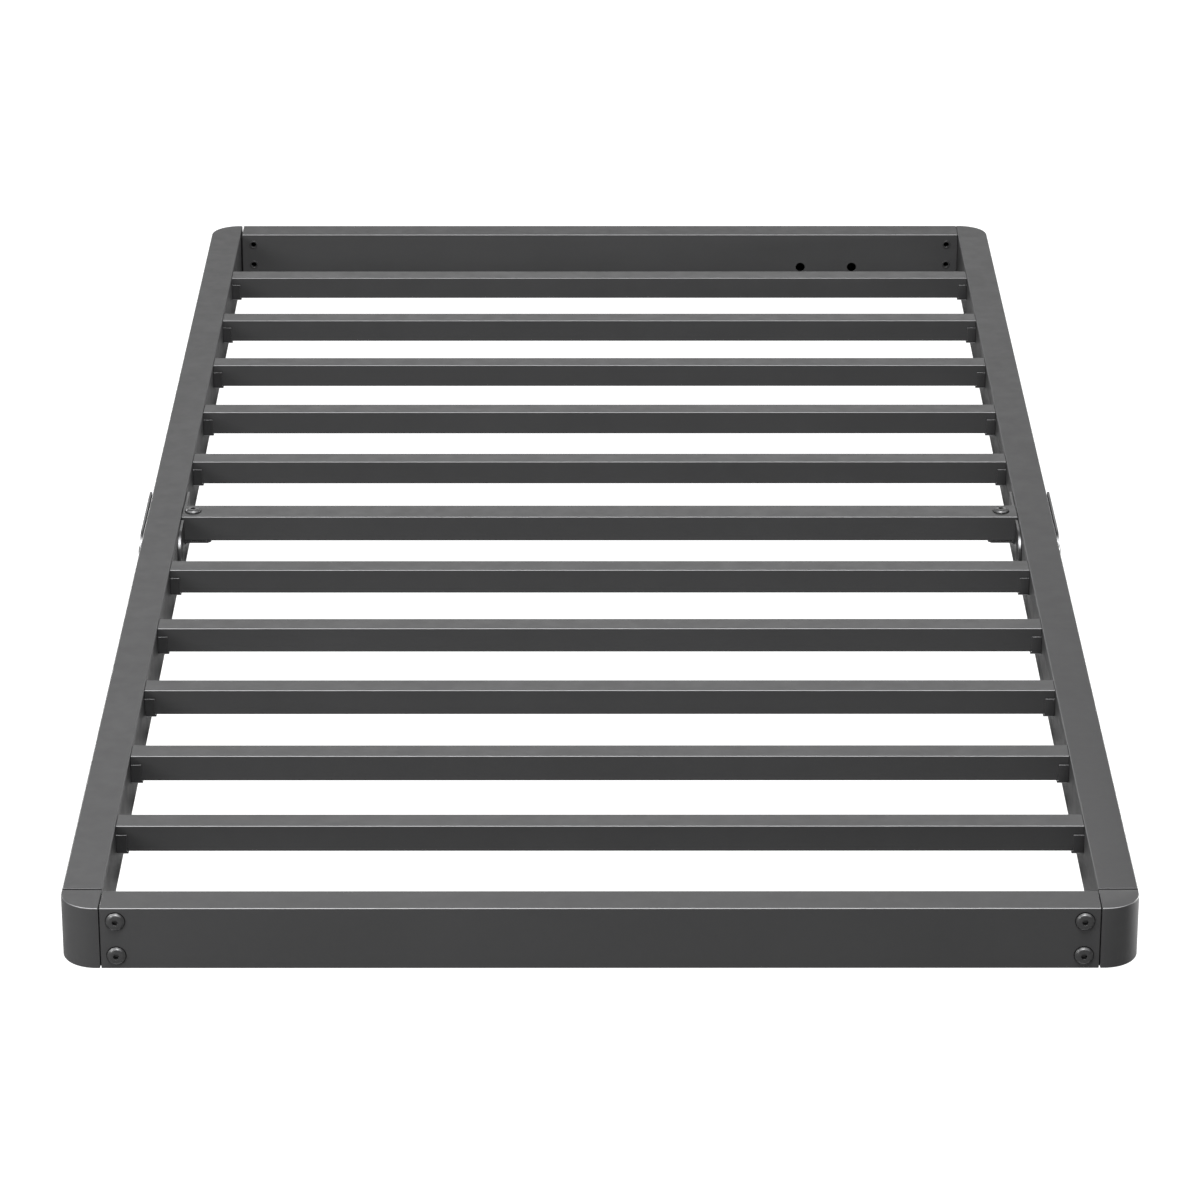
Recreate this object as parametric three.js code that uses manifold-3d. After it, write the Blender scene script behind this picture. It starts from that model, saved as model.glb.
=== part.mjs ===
// A flat slatted cargo platform: two box-section side rails with rounded rear corners, two separate
// rounded front corners, bolted end rails, and cross slats that rest in U-shaped cradles.
// Millimetres. +X is to the right, +Y runs from the front end to the rear end, +Z is up.
// The origin is at the middle of the footprint, level with the underside of the rails.

import * as THREE from "three";
import { mergeVertices } from "three/addons/utils/BufferGeometryUtils.js";
import Module from "manifold-3d";

const wasm = await Module();
wasm.setup();

// Outer frame
const FRAME_LENGTH = 1909;
const FRAME_WIDTH = 950;
const RAIL_HEIGHT = 59;
const RAIL_WIDTH = 35.3;
const RAIL_WALL = 1.5;
const EDGE_RADIUS = 1.5;
const CORNER_RADIUS = 32;
const CORNER_LENGTH = 37.4;
const CORNER_SEAM = 2;
const END_RAIL_GAP = 1.1;
const REAR_RAIL_SHIFT = 0.8;
const TOUCH_GAP = 0.3;

// Joining pieces inside the rails
const SLEEVE_REACH = 40;
const SLEEVE_WALL = 2.5;
const INSERT_LENGTH = 32;
const INSERT_WALL = 2.5;
const INSERT_INSET_FRONT = 2;
const INSERT_INSET_REAR = 6;
const INNER_CLEARANCE = 0.5;

// Slats and their cradles
const SLAT_WIDTH = 25.4;
const SLAT_HEIGHT = 25.4;
const SLAT_WALL = 1.5;
const SLAT_EDGE_RADIUS = 1.2;
const SLAT_DROP = 1.1;
const SLATS_EACH_SIDE = 5;
const CENTRE_SPACING = 155;
const SLAT_PITCH = 153.8;
const CENTRE_SLAT_WIDTH = 33.5;
const CENTRE_SLAT_HEIGHT = 27;
const CENTRE_SLAT_DROP = 2.3;
const CRADLE_LENGTH = 10.8;
const CRADLE_WALL = 2;
const CRADLE_LIP_DROP = 8.3;
const CRADLE_BEND_RADIUS = 3;

// Plates at the middle of each side rail
const PLATE_THICKNESS = 2.5;
const OUTER_PLATE_GAP = 1.8;
const INNER_PLATE_GAP = 0.5;
const PLATE_REAR = 62;
const PLATE_ARC_CENTRE = -47;
const PLATE_ARC_RADIUS = 25;
const NOTCH_CORNER_RADIUS = 3;
const TAB_LENGTH = 30.5;
const TAB_THICKNESS = 2.2;
const TAB_CHAMFER = 3.5;

// Fasteners and holes
const SHANK_RADIUS = 4;
const HOLE_RADIUS = 4.5;
const END_SCREW_INSET = 50;
const UPPER_SCREW_HEIGHT = 46.1;
const FRONT_LOWER_SCREW_HEIGHT = 12.9;
const REAR_LOWER_SCREW_HEIGHT = 20.5;
const END_SCREW_LENGTH = 14;
const SCREW_HEAD_RADIUS = 8.2;
const SCREW_HEAD_HEIGHT = 3;
const SCREW_RIM_HEIGHT = 0.9;
const CROWN_SHOULDER = [0.8, 0.9];
const CROWN_FLAT = 0.45;
const SOCKET_RADIUS = 2.9;
const SOCKET_DEPTH = 3.2;
const INNER_HOLE_RADIUS = 3.4;
const CENTRE_SCREW_LEFT = -428.4;
const CENTRE_SCREW_RIGHT = 423;
const CENTRE_SCREW_LENGTH = 29;
const RIVET_HEAD_RADIUS = 9.5;
const RIVET_OUTER_HEIGHT = 3.2;
const RIVET_INNER_HEIGHT = 1;
const REAR_HOLE_RADIUS = 5.7;
const REAR_HOLE_HEIGHT = 17;
const REAR_HOLE_PLACES = [247, 310];

// Smoothness of the round shapes
const EDGE_SEGMENTS = 2;
const CORNER_SEGMENTS = 8;
const ROUND_SEGMENTS = 16;
const OVERCUT = 5;
const WIDEST_ARC = 0.98;

// Places worked out from the sizes above
const HALF_LENGTH = FRAME_LENGTH / 2;
const HALF_WIDTH = FRAME_WIDTH / 2;
const RAIL_INNER = HALF_WIDTH - RAIL_WIDTH;
const RAIL_MIDDLE = RAIL_HEIGHT / 2;
const END_RAIL_HALF = RAIL_INNER - END_RAIL_GAP;
const END_RAIL_CENTRE = HALF_LENGTH - RAIL_WIDTH / 2;
const SIDE_RAIL_FRONT = -HALF_LENGTH + CORNER_LENGTH + CORNER_SEAM;
const SLAT_HALF = RAIL_INNER - TOUCH_GAP;
const SLAT_BOTTOM = RAIL_HEIGHT - SLAT_DROP - SLAT_HEIGHT;
const CENTRE_SLAT_TOP = RAIL_HEIGHT - CENTRE_SLAT_DROP;
const CENTRE_SLAT_BOTTOM = CENTRE_SLAT_TOP - CENTRE_SLAT_HEIGHT;

const RAIL_FINISH = 0x4c4c4d;
const SLAT_FINISH = 0x4a4a4b;
const BRACKET_FINISH = 0x464647;
const INSERT_FINISH = 0x2c2c2e;
const SCREW_FINISH = 0x3c3c3e;

const platform = new THREE.Group();

function coatedSteel(grey) {
  return new THREE.MeshStandardMaterial({ color: grey, roughness: 0.5, metalness: 0.3 });
}

// Closed solids for cutting and joining

function toSolid(geometry) {
  const bare = geometry.clone();
  bare.deleteAttribute("normal");
  bare.deleteAttribute("uv");
  const merged = mergeVertices(bare, 1e-4);
  const mesh = new wasm.Mesh({
    numProp: 3,
    vertProperties: merged.attributes.position.array,
    triVerts: new Uint32Array(merged.index.array),
  });
  return new wasm.Manifold(mesh);
}

function toGeometry(solid) {
  const mesh = solid.getMesh();
  const geometry = new THREE.BufferGeometry();
  geometry.setAttribute("position", new THREE.BufferAttribute(mesh.vertProperties, 3));
  geometry.setIndex(new THREE.BufferAttribute(mesh.triVerts, 1));
  const faceted = geometry.toNonIndexed();
  faceted.computeVertexNormals();
  return faceted;
}

function cutAway(body, ...cutters) {
  let solid = toSolid(body);
  for (const cutter of cutters) {
    solid = solid.subtract(toSolid(cutter));
  }
  return toGeometry(solid);
}

function joinUp(body, ...additions) {
  let solid = toSolid(body);
  for (const addition of additions) {
    solid = solid.add(toSolid(addition));
  }
  return toGeometry(solid);
}

// Basic shapes, placed in the part's own axes

function box(low, high) {
  const size = high.map((value, axis) => value - low[axis]);
  const middle = high.map((value, axis) => (value + low[axis]) / 2);
  return new THREE.BoxGeometry(...size).translate(...middle);
}

function rodAlong(axis, radius, from, to, across, segments = ROUND_SEGMENTS) {
  const rod = new THREE.CylinderGeometry(radius, radius, to - from, segments);
  const middle = (from + to) / 2;
  if (axis === "x") {
    return rod.rotateZ(-Math.PI / 2).translate(middle, ...across);
  }
  if (axis === "z") {
    return rod.rotateX(Math.PI / 2).translate(...across, middle);
  }
  return rod.translate(across[0], middle, across[1]);
}

function roundedRectangle(width, height, radius) {
  const right = width / 2;
  const top = height / 2;
  const shape = new THREE.Shape();
  shape.moveTo(-right + radius, -top);
  shape.absarc(right - radius, -top + radius, radius, -Math.PI / 2, 0, false);
  shape.absarc(right - radius, top - radius, radius, 0, Math.PI / 2, false);
  shape.absarc(-right + radius, top - radius, radius, Math.PI / 2, Math.PI, false);
  shape.absarc(-right + radius, -top + radius, radius, Math.PI, 1.5 * Math.PI, false);
  return shape;
}

function sweep(shape, length, segments) {
  return new THREE.ExtrudeGeometry(shape, { depth: length, bevelEnabled: false, curveSegments: segments });
}

// The shape's own X and Y become the part's Y and Z, and the sweep runs along the part's X.
function sweepAlongX(shape, from, to, segments = EDGE_SEGMENTS) {
  const turn = new THREE.Matrix4().makeBasis(
    new THREE.Vector3(0, 1, 0),
    new THREE.Vector3(0, 0, 1),
    new THREE.Vector3(1, 0, 0),
  );
  return sweep(shape, to - from, segments).applyMatrix4(turn).translate(from, 0, 0);
}

function crossTube(width, height, wall, radius, halfLength, middleY, middleZ) {
  const outer = sweepAlongX(roundedRectangle(width, height, radius), -halfLength, halfLength);
  outer.translate(0, middleY, middleZ);
  const bore = box(
    [-halfLength - OVERCUT, middleY - width / 2 + wall, middleZ - height / 2 + wall],
    [halfLength + OVERCUT, middleY + width / 2 - wall, middleZ + height / 2 - wall],
  );
  return { outer, bore };
}

function addPiece(name, geometry, finish) {
  const mesh = new THREE.Mesh(geometry, coatedSteel(finish));
  mesh.name = name;
  platform.add(mesh);
  return mesh;
}

// Builds the left piece as modelled and the right piece as its mirror image.
function addPair(name, geometry, finish) {
  addPiece(`${name}_left`, geometry, finish);
  addPiece(`${name}_right`, geometry, finish).scale.x = -1;
}

// Plan outline of a rail end whose outer corner is rounded. "inset" moves every side inwards.
function cornerOutline(startY, endY, inset) {
  const outerX = -HALF_WIDTH + inset;
  const innerX = -RAIL_INNER - inset;
  const outline = new THREE.Shape();
  const radius = Math.min(CORNER_RADIUS - inset, WIDEST_ARC * (innerX - outerX));
  const towardsRear = endY > startY;
  const endInset = towardsRear ? endY - inset : endY + inset;
  const arcY = towardsRear ? endInset - radius : endInset + radius;
  outline.moveTo(innerX, startY);
  outline.lineTo(innerX, endInset);
  const endAngle = towardsRear ? Math.PI / 2 : -Math.PI / 2;
  outline.absarc(outerX + radius, arcY, radius, endAngle, towardsRear ? Math.PI : -Math.PI, !towardsRear);
  outline.lineTo(outerX, startY);
  return outline;
}

// The same outline swept upwards with square edges, between "inset" above the bottom and below the top.
function uprightBlock(startY, endY, inset) {
  return new THREE.ExtrudeGeometry(cornerOutline(startY, endY, inset), {
    depth: RAIL_HEIGHT - 2 * inset,
    bevelEnabled: false,
    curveSegments: CORNER_SEGMENTS,
  }).translate(0, 0, inset);
}

// A hollow rail or corner that is open and square at startY, with its other edges rounded.
function uprightShell(startY, endY) {
  const direction = Math.sign(endY - startY);
  const beyond = startY - direction * OVERCUT;
  const outer = new THREE.ExtrudeGeometry(cornerOutline(beyond, endY, 0), {
    depth: RAIL_HEIGHT - 2 * EDGE_RADIUS,
    bevelThickness: EDGE_RADIUS,
    bevelSize: EDGE_RADIUS,
    bevelOffset: -EDGE_RADIUS,
    bevelSegments: EDGE_SEGMENTS,
    curveSegments: CORNER_SEGMENTS,
  }).translate(0, 0, EDGE_RADIUS);
  const hollow = uprightBlock(beyond - direction * OVERCUT, endY, RAIL_WALL);
  const farSide = beyond - direction * 2 * OVERCUT;
  const squareEnd = box(
    [-HALF_WIDTH - OVERCUT, Math.min(startY, farSide), -OVERCUT],
    [-RAIL_INNER + OVERCUT, Math.max(startY, farSide), RAIL_HEIGHT + OVERCUT],
  );
  return cutAway(outer, hollow, squareEnd);
}

function sideRails() {
  const rail = uprightShell(SIDE_RAIL_FRONT, HALF_LENGTH);
  const rivetHole = rodAlong("x", HOLE_RADIUS, -HALF_WIDTH - OVERCUT, -RAIL_INNER + OVERCUT, [
    PLATE_ARC_CENTRE,
    RAIL_MIDDLE,
  ]);
  addPair("side_rail", cutAway(rail, rivetHole), RAIL_FINISH);
}

function frontCorners() {
  addPair("front_corner", uprightShell(-HALF_LENGTH + CORNER_LENGTH, -HALF_LENGTH), RAIL_FINISH);
}

// Hollow plug inside each front seam: it fills the corner and reaches into the side rail.
function sideSleeves() {
  const rearEnd = SIDE_RAIL_FRONT + SLEEVE_REACH;
  const outside = RAIL_WALL + INNER_CLEARANCE;
  const body = uprightBlock(rearEnd, -HALF_LENGTH, outside);
  const hollow = uprightBlock(rearEnd + OVERCUT, -HALF_LENGTH, outside + SLEEVE_WALL);
  addPair("side_sleeve", cutAway(body, hollow), INSERT_FINISH);
}

// In what follows, "end" is -1 for the front rail and 1 for the rear rail.
function endShift(end) {
  return end > 0 ? REAR_RAIL_SHIFT : 0;
}

function endScrewPlaces(end) {
  const lowerHeight = end > 0 ? REAR_LOWER_SCREW_HEIGHT : FRONT_LOWER_SCREW_HEIGHT;
  const places = [];
  for (const side of [-1, 1]) {
    const x = side * (HALF_WIDTH - END_SCREW_INSET) + endShift(end);
    places.push({ x, z: lowerHeight }, { x, z: UPPER_SCREW_HEIGHT });
  }
  return places;
}

function endRail(name, end, extraHoles) {
  const centreY = end * END_RAIL_CENTRE;
  const { outer, bore } = crossTube(
    RAIL_WIDTH,
    RAIL_HEIGHT,
    RAIL_WALL,
    EDGE_RADIUS,
    END_RAIL_HALF,
    centreY,
    RAIL_MIDDLE,
  );
  outer.translate(endShift(end), 0, 0);
  const outward = [centreY, end * (HALF_LENGTH + OVERCUT)].sort((a, b) => a - b);
  const inward = [centreY, end * (HALF_LENGTH - RAIL_WIDTH - OVERCUT)].sort((a, b) => a - b);
  const holes = endScrewPlaces(end).flatMap(({ x, z }) => [
    rodAlong("y", HOLE_RADIUS, ...outward, [x, z]),
    rodAlong("y", INNER_HOLE_RADIUS, ...inward, [x, z]),
  ]);
  for (const x of extraHoles) {
    holes.push(rodAlong("y", REAR_HOLE_RADIUS, ...inward, [x, REAR_HOLE_HEIGHT]));
  }
  addPiece(name, cutAway(outer, bore, ...holes), RAIL_FINISH);
}

// Short square tube inside each end of an end rail, which its two screws thread into.
function cornerInserts(name, end, inset) {
  const centreY = end * END_RAIL_CENTRE;
  const outerX = -RAIL_INNER + TOUCH_GAP;
  const low = [outerX, centreY - RAIL_WIDTH / 2 + inset, inset];
  const high = [outerX + INSERT_LENGTH, centreY + RAIL_WIDTH / 2 - inset, RAIL_HEIGHT - inset];
  const bore = box(
    [low[0] - OVERCUT, low[1] + INSERT_WALL, low[2] + INSERT_WALL],
    [high[0] + OVERCUT, high[1] - INSERT_WALL, high[2] - INSERT_WALL],
  );
  const [leftHoles, rightHoles] = [-1, 1].map((side) =>
    endScrewPlaces(end)
      .filter(({ x }) => x * side > 0)
      .map(({ x, z }) => rodAlong("y", HOLE_RADIUS, low[1] - OVERCUT, high[1] + OVERCUT, [-side * x, z])),
  );
  addPiece(`${name}_left`, cutAway(box(low, high), bore, ...leftHoles), INSERT_FINISH);
  addPiece(`${name}_right`, cutAway(box(low, high), bore, ...rightHoles), INSERT_FINISH).scale.x = -1;
}

function crossSlat(name, middleY) {
  const { outer, bore } = crossTube(
    SLAT_WIDTH,
    SLAT_HEIGHT,
    SLAT_WALL,
    SLAT_EDGE_RADIUS,
    SLAT_HALF,
    middleY,
    SLAT_BOTTOM + SLAT_HEIGHT / 2,
  );
  addPiece(name, cutAway(outer, bore), SLAT_FINISH);
}

function centreSlat() {
  const { outer, bore } = crossTube(
    CENTRE_SLAT_WIDTH,
    CENTRE_SLAT_HEIGHT,
    SLAT_WALL,
    SLAT_EDGE_RADIUS,
    SLAT_HALF,
    0,
    CENTRE_SLAT_BOTTOM + CENTRE_SLAT_HEIGHT / 2,
  );
  const holes = [CENTRE_SCREW_LEFT, CENTRE_SCREW_RIGHT].map((x) =>
    rodAlong("z", HOLE_RADIUS, CENTRE_SLAT_BOTTOM - OVERCUT, CENTRE_SLAT_TOP + OVERCUT, [x, 0]),
  );
  addPiece("centre_slat", cutAway(outer, bore, ...holes), SLAT_FINISH);
}

// U-shaped steel cradle on the rail's inner face, open at the top for the slat's end.
function cradlePair(name, middleY) {
  const inside = SLAT_WIDTH / 2 + TOUCH_GAP;
  const outside = inside + CRADLE_WALL;
  const floorTop = SLAT_BOTTOM - TOUCH_GAP;
  const floor = floorTop - CRADLE_WALL;
  const lip = RAIL_HEIGHT - SLAT_DROP - CRADLE_LIP_DROP;
  const bend = CRADLE_BEND_RADIUS;
  const outline = new THREE.Shape();
  outline.moveTo(-inside, lip);
  outline.lineTo(-outside, lip);
  outline.absarc(-outside + bend, floor + bend, bend, Math.PI, 1.5 * Math.PI, false);
  outline.absarc(outside - bend, floor + bend, bend, 1.5 * Math.PI, 2 * Math.PI, false);
  outline.lineTo(outside, lip);
  outline.lineTo(inside, lip);
  outline.lineTo(inside, floorTop);
  outline.lineTo(-inside, floorTop);
  const start = -RAIL_INNER + TOUCH_GAP;
  const cradle = sweepAlongX(outline, start, start + CRADLE_LENGTH).translate(0, middleY, 0);
  addPair(name, cradle, BRACKET_FINISH);
}

function plateOutline() {
  const top = RAIL_MIDDLE + PLATE_ARC_RADIUS;
  const bottom = RAIL_MIDDLE - PLATE_ARC_RADIUS;
  const outline = new THREE.Shape();
  outline.moveTo(PLATE_REAR, bottom);
  outline.lineTo(PLATE_REAR, top);
  outline.absarc(PLATE_ARC_CENTRE, RAIL_MIDDLE, PLATE_ARC_RADIUS, Math.PI / 2, 1.5 * Math.PI, false);
  return outline;
}

function rivetHoleThroughPlate() {
  return rodAlong("x", HOLE_RADIUS, -HALF_WIDTH - 2 * OVERCUT, -RAIL_INNER + 2 * OVERCUT, [
    PLATE_ARC_CENTRE,
    RAIL_MIDDLE,
  ]);
}

function sidePlates() {
  const innerX = -HALF_WIDTH - OUTER_PLATE_GAP;
  const plate = sweepAlongX(plateOutline(), innerX - PLATE_THICKNESS, innerX, CORNER_SEGMENTS);
  addPair("side_plate", cutAway(plate, rivetHoleThroughPlate()), BRACKET_FINISH);
}

// Inner plate, notched for the centre slat, with the notch's tongue bent inwards as the slat's seat.
function centreBrackets() {
  const outerX = -RAIL_INNER + INNER_PLATE_GAP;
  const innerX = outerX + PLATE_THICKNESS;
  const plate = sweepAlongX(plateOutline(), outerX, innerX, CORNER_SEGMENTS);
  const tabTop = CENTRE_SLAT_BOTTOM - TOUCH_GAP;
  const notchHalf = CENTRE_SLAT_WIDTH / 2 + 2 * TOUCH_GAP;
  const plateTop = RAIL_MIDDLE + PLATE_ARC_RADIUS;
  const flare = notchHalf + NOTCH_CORNER_RADIUS;
  const notch = new THREE.Shape();
  notch.moveTo(-notchHalf, tabTop);
  notch.lineTo(notchHalf, tabTop);
  notch.lineTo(notchHalf, plateTop - NOTCH_CORNER_RADIUS);
  notch.absarc(flare, plateTop - NOTCH_CORNER_RADIUS, NOTCH_CORNER_RADIUS, Math.PI, Math.PI / 2, true);
  notch.lineTo(flare, plateTop + OVERCUT);
  notch.lineTo(-flare, plateTop + OVERCUT);
  notch.absarc(-flare, plateTop - NOTCH_CORNER_RADIUS, NOTCH_CORNER_RADIUS, Math.PI / 2, 0, true);
  const notchCut = sweepAlongX(notch, outerX - OVERCUT, innerX + OVERCUT);

  const tabEnd = -RAIL_INNER + TAB_LENGTH;
  const tabHalf = CENTRE_SLAT_WIDTH / 2;
  const tab = new THREE.Shape();
  tab.moveTo(outerX, -tabHalf);
  tab.lineTo(tabEnd - TAB_CHAMFER, -tabHalf);
  tab.lineTo(tabEnd, -tabHalf + TAB_CHAMFER);
  tab.lineTo(tabEnd, tabHalf - TAB_CHAMFER);
  tab.lineTo(tabEnd - TAB_CHAMFER, tabHalf);
  tab.lineTo(outerX, tabHalf);
  const tabPlate = sweep(tab, TAB_THICKNESS, 1).translate(0, 0, tabTop - TAB_THICKNESS);

  const bracket = joinUp(cutAway(plate, notchCut, rivetHoleThroughPlate()), tabPlate);
  const [leftHole, rightHole] = [CENTRE_SCREW_LEFT, -CENTRE_SCREW_RIGHT].map((x) =>
    rodAlong("z", HOLE_RADIUS, tabTop - OVERCUT, tabTop + OVERCUT, [x, 0]),
  );
  addPiece("centre_bracket_left", cutAway(bracket, leftHole), BRACKET_FINISH);
  addPiece("centre_bracket_right", cutAway(bracket, rightHole), BRACKET_FINISH).scale.x = -1;
}

// Button-head screw with a hexagonal socket. Its head sits above y = 0 and its shank below.
function buttonScrew(shankLength) {
  const head = SCREW_HEAD_RADIUS;
  const rise = SCREW_HEAD_HEIGHT - SCREW_RIM_HEIGHT;
  const crown = new THREE.Shape();
  crown.moveTo(0, -shankLength);
  crown.lineTo(SHANK_RADIUS, -shankLength);
  crown.lineTo(SHANK_RADIUS, 0);
  crown.lineTo(head, 0);
  crown.lineTo(head, SCREW_RIM_HEIGHT);
  const [across, upwards] = CROWN_SHOULDER;
  const flat = CROWN_FLAT * head;
  crown.quadraticCurveTo(across * head, SCREW_RIM_HEIGHT + upwards * rise, flat, SCREW_HEAD_HEIGHT);
  crown.lineTo(0, SCREW_HEAD_HEIGHT);
  const body = new THREE.LatheGeometry(crown.getPoints(3), ROUND_SEGMENTS);
  const socket = new THREE.CylinderGeometry(SOCKET_RADIUS, SOCKET_RADIUS, 2 * SOCKET_DEPTH, 6);
  return cutAway(body, socket.translate(0, SCREW_HEAD_HEIGHT, 0));
}

function endScrews(endName, end) {
  const screw = buttonScrew(END_SCREW_LENGTH);
  for (const { x, z } of endScrewPlaces(end)) {
    const side = x < 0 ? "left" : "right";
    const level = z > RAIL_MIDDLE ? "upper" : "lower";
    const mesh = addPiece(`${endName}_screw_${side}_${level}`, screw, SCREW_FINISH);
    mesh.rotation.z = end > 0 ? 0 : Math.PI;
    mesh.position.set(x, end * (HALF_LENGTH + TOUCH_GAP), z);
  }
}

function centreScrews() {
  const screw = buttonScrew(CENTRE_SCREW_LENGTH);
  for (const [side, x] of [["left", CENTRE_SCREW_LEFT], ["right", CENTRE_SCREW_RIGHT]]) {
    const mesh = addPiece(`centre_screw_${side}`, screw, SCREW_FINISH);
    mesh.rotation.x = Math.PI / 2;
    mesh.position.set(x, 0, CENTRE_SLAT_TOP + TOUCH_GAP);
  }
}

// Pin through both plates and the rail, with a low domed head at each end.
function plateRivets() {
  const outerFace = HALF_WIDTH + OUTER_PLATE_GAP + PLATE_THICKNESS + TOUCH_GAP;
  const innerFace = RAIL_INNER - INNER_PLATE_GAP - PLATE_THICKNESS - TOUCH_GAP;
  const head = RIVET_HEAD_RADIUS;
  const shoulder = CROWN_SHOULDER[0] * head;
  const crown = new THREE.Shape();
  crown.moveTo(0, innerFace - RIVET_INNER_HEIGHT);
  crown.quadraticCurveTo(shoulder, innerFace - RIVET_INNER_HEIGHT, head, innerFace);
  crown.lineTo(SHANK_RADIUS, innerFace);
  crown.lineTo(SHANK_RADIUS, outerFace);
  crown.lineTo(head, outerFace);
  crown.quadraticCurveTo(shoulder, outerFace + RIVET_OUTER_HEIGHT, 0, outerFace + RIVET_OUTER_HEIGHT);
  const rivet = new THREE.LatheGeometry(crown.getPoints(4), ROUND_SEGMENTS);
  rivet.rotateZ(Math.PI / 2).translate(0, PLATE_ARC_CENTRE, RAIL_MIDDLE);
  addPair("plate_rivet", rivet, SCREW_FINISH);
}

function slatsAndCradles() {
  const total = 2 * SLATS_EACH_SIDE + 1;
  for (let number = 1; number <= total; number += 1) {
    const fromCentre = SLATS_EACH_SIDE + 1 - number;
    if (fromCentre !== 0) {
      const distance = CENTRE_SPACING + (Math.abs(fromCentre) - 1) * SLAT_PITCH;
      const middleY = Math.sign(fromCentre) * distance;
      const label = String(number).padStart(2, "0");
      crossSlat(`slat_${label}`, middleY);
      cradlePair(`cradle_${label}`, middleY);
    }
  }
}

sideRails();
frontCorners();
sideSleeves();
endRail("front_rail", -1, []);
endRail("rear_rail", 1, REAR_HOLE_PLACES);
cornerInserts("front_insert", -1, INSERT_INSET_FRONT);
cornerInserts("rear_insert", 1, INSERT_INSET_REAR);
slatsAndCradles();
centreSlat();
centreBrackets();
sidePlates();
plateRivets();
endScrews("front", -1);
endScrews("rear", 1);
centreScrews();

export default platform;
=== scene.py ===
import math

import bmesh
import bpy
from mathutils import Matrix, Vector


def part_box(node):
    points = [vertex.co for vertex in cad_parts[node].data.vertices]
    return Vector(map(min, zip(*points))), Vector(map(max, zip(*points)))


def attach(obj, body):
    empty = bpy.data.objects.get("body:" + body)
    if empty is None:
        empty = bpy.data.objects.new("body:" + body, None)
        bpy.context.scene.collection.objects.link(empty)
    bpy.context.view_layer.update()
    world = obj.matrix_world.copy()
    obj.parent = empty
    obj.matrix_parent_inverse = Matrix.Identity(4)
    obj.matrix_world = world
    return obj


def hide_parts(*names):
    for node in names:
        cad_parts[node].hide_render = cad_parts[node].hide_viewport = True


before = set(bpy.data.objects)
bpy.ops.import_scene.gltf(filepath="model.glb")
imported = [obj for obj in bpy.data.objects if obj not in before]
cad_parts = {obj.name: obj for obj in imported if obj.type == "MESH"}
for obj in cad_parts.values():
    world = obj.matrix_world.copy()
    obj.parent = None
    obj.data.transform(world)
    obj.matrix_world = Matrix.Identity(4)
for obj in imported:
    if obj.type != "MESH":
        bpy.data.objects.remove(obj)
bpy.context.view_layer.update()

# The frame's own sizes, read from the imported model. Everything is in metres.
MM = 0.001
RAIL_LOW, RAIL_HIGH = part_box("side_rail_left")
CORNER_LOW, CORNER_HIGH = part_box("front_corner_left")
FRONT_LOW, FRONT_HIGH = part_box("front_rail")
REAR_LOW, REAR_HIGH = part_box("rear_rail")
HALF_WIDTH = -RAIL_LOW[0]
HALF_LENGTH = RAIL_HIGH[1]
RAIL_HEIGHT = RAIL_HIGH[2]
RAIL_WIDTH = RAIL_HIGH[0] - RAIL_LOW[0]
RAIL_INNER = HALF_WIDTH - RAIL_WIDTH

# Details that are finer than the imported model. Angles are in degrees.
RAIL_WALL = 1.5 * MM
EDGE_RADIUS = 1.5 * MM
CORNER_RADIUS = 32 * MM
SLAT_WALL = 1.5 * MM
SLAT_EDGE_RADIUS = 1.2 * MM
DEBURR = 0.35 * MM
OVERCUT = 5 * MM
SEAM_RELIEF = 0.45 * MM
CLEARANCE_RADIUS = 4.5 * MM
BEVEL_FROM_ANGLE = 35
SHARP_FROM_ANGLE = 48
EDGE_STEPS = 6
CORNER_STEPS = 28
ROUND_STEPS = 48
HOLE_STEPS = 32


# ---------------------------------------------------------------- camera

CAMERA_X = -2.3 * MM
CAMERA_DISTANCE = 3.8824
CAMERA_ABOVE_TOP = 1.9017
CAMERA_PITCH = 22.52
CAMERA_YAW = -0.032
CAMERA_LENS = 147.93


def make_camera():
    data = bpy.data.cameras.new("camera")
    data.sensor_width = 36
    data.lens = CAMERA_LENS
    camera = bpy.data.objects.new("camera", data)
    bpy.context.scene.collection.objects.link(camera)
    camera_y = -HALF_LENGTH - CAMERA_DISTANCE
    camera.location = (CAMERA_X, camera_y, RAIL_HEIGHT + CAMERA_ABOVE_TOP)
    camera.rotation_euler = (math.radians(90 - CAMERA_PITCH), 0, math.radians(CAMERA_YAW))
    bpy.context.scene.camera = camera


# ---------------------------------------------------------------- materials


def noise(tree, coordinates, scale, detail):
    node = tree.nodes.new("ShaderNodeTexNoise")
    node.inputs["Scale"].default_value = scale
    node.inputs["Detail"].default_value = detail
    node.inputs["Roughness"].default_value = 0.5
    tree.links.new(coordinates, node.inputs["Vector"])
    return node.outputs["Fac"]


def remap(tree, value, from_low, from_high, to_low, to_high):
    node = tree.nodes.new("ShaderNodeMapRange")
    node.inputs["From Min"].default_value = from_low
    node.inputs["From Max"].default_value = from_high
    node.inputs["To Min"].default_value = to_low
    node.inputs["To Max"].default_value = to_high
    tree.links.new(value, node.inputs["Value"])
    return node.outputs["Result"]


def mix_colour(tree, factor, first, second):
    node = tree.nodes.new("ShaderNodeMix")
    node.data_type = "RGBA"
    tree.links.new(factor, node.inputs["Factor"])
    for socket, colour in (("A", first), ("B", second)):
        target = [s for s in node.inputs if s.name == socket and s.type == "RGBA"][0]
        if isinstance(colour, tuple):
            target.default_value = (*colour, 1)
        else:
            tree.links.new(colour, target)
    return [s for s in node.outputs if s.type == "RGBA"][0]


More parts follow.
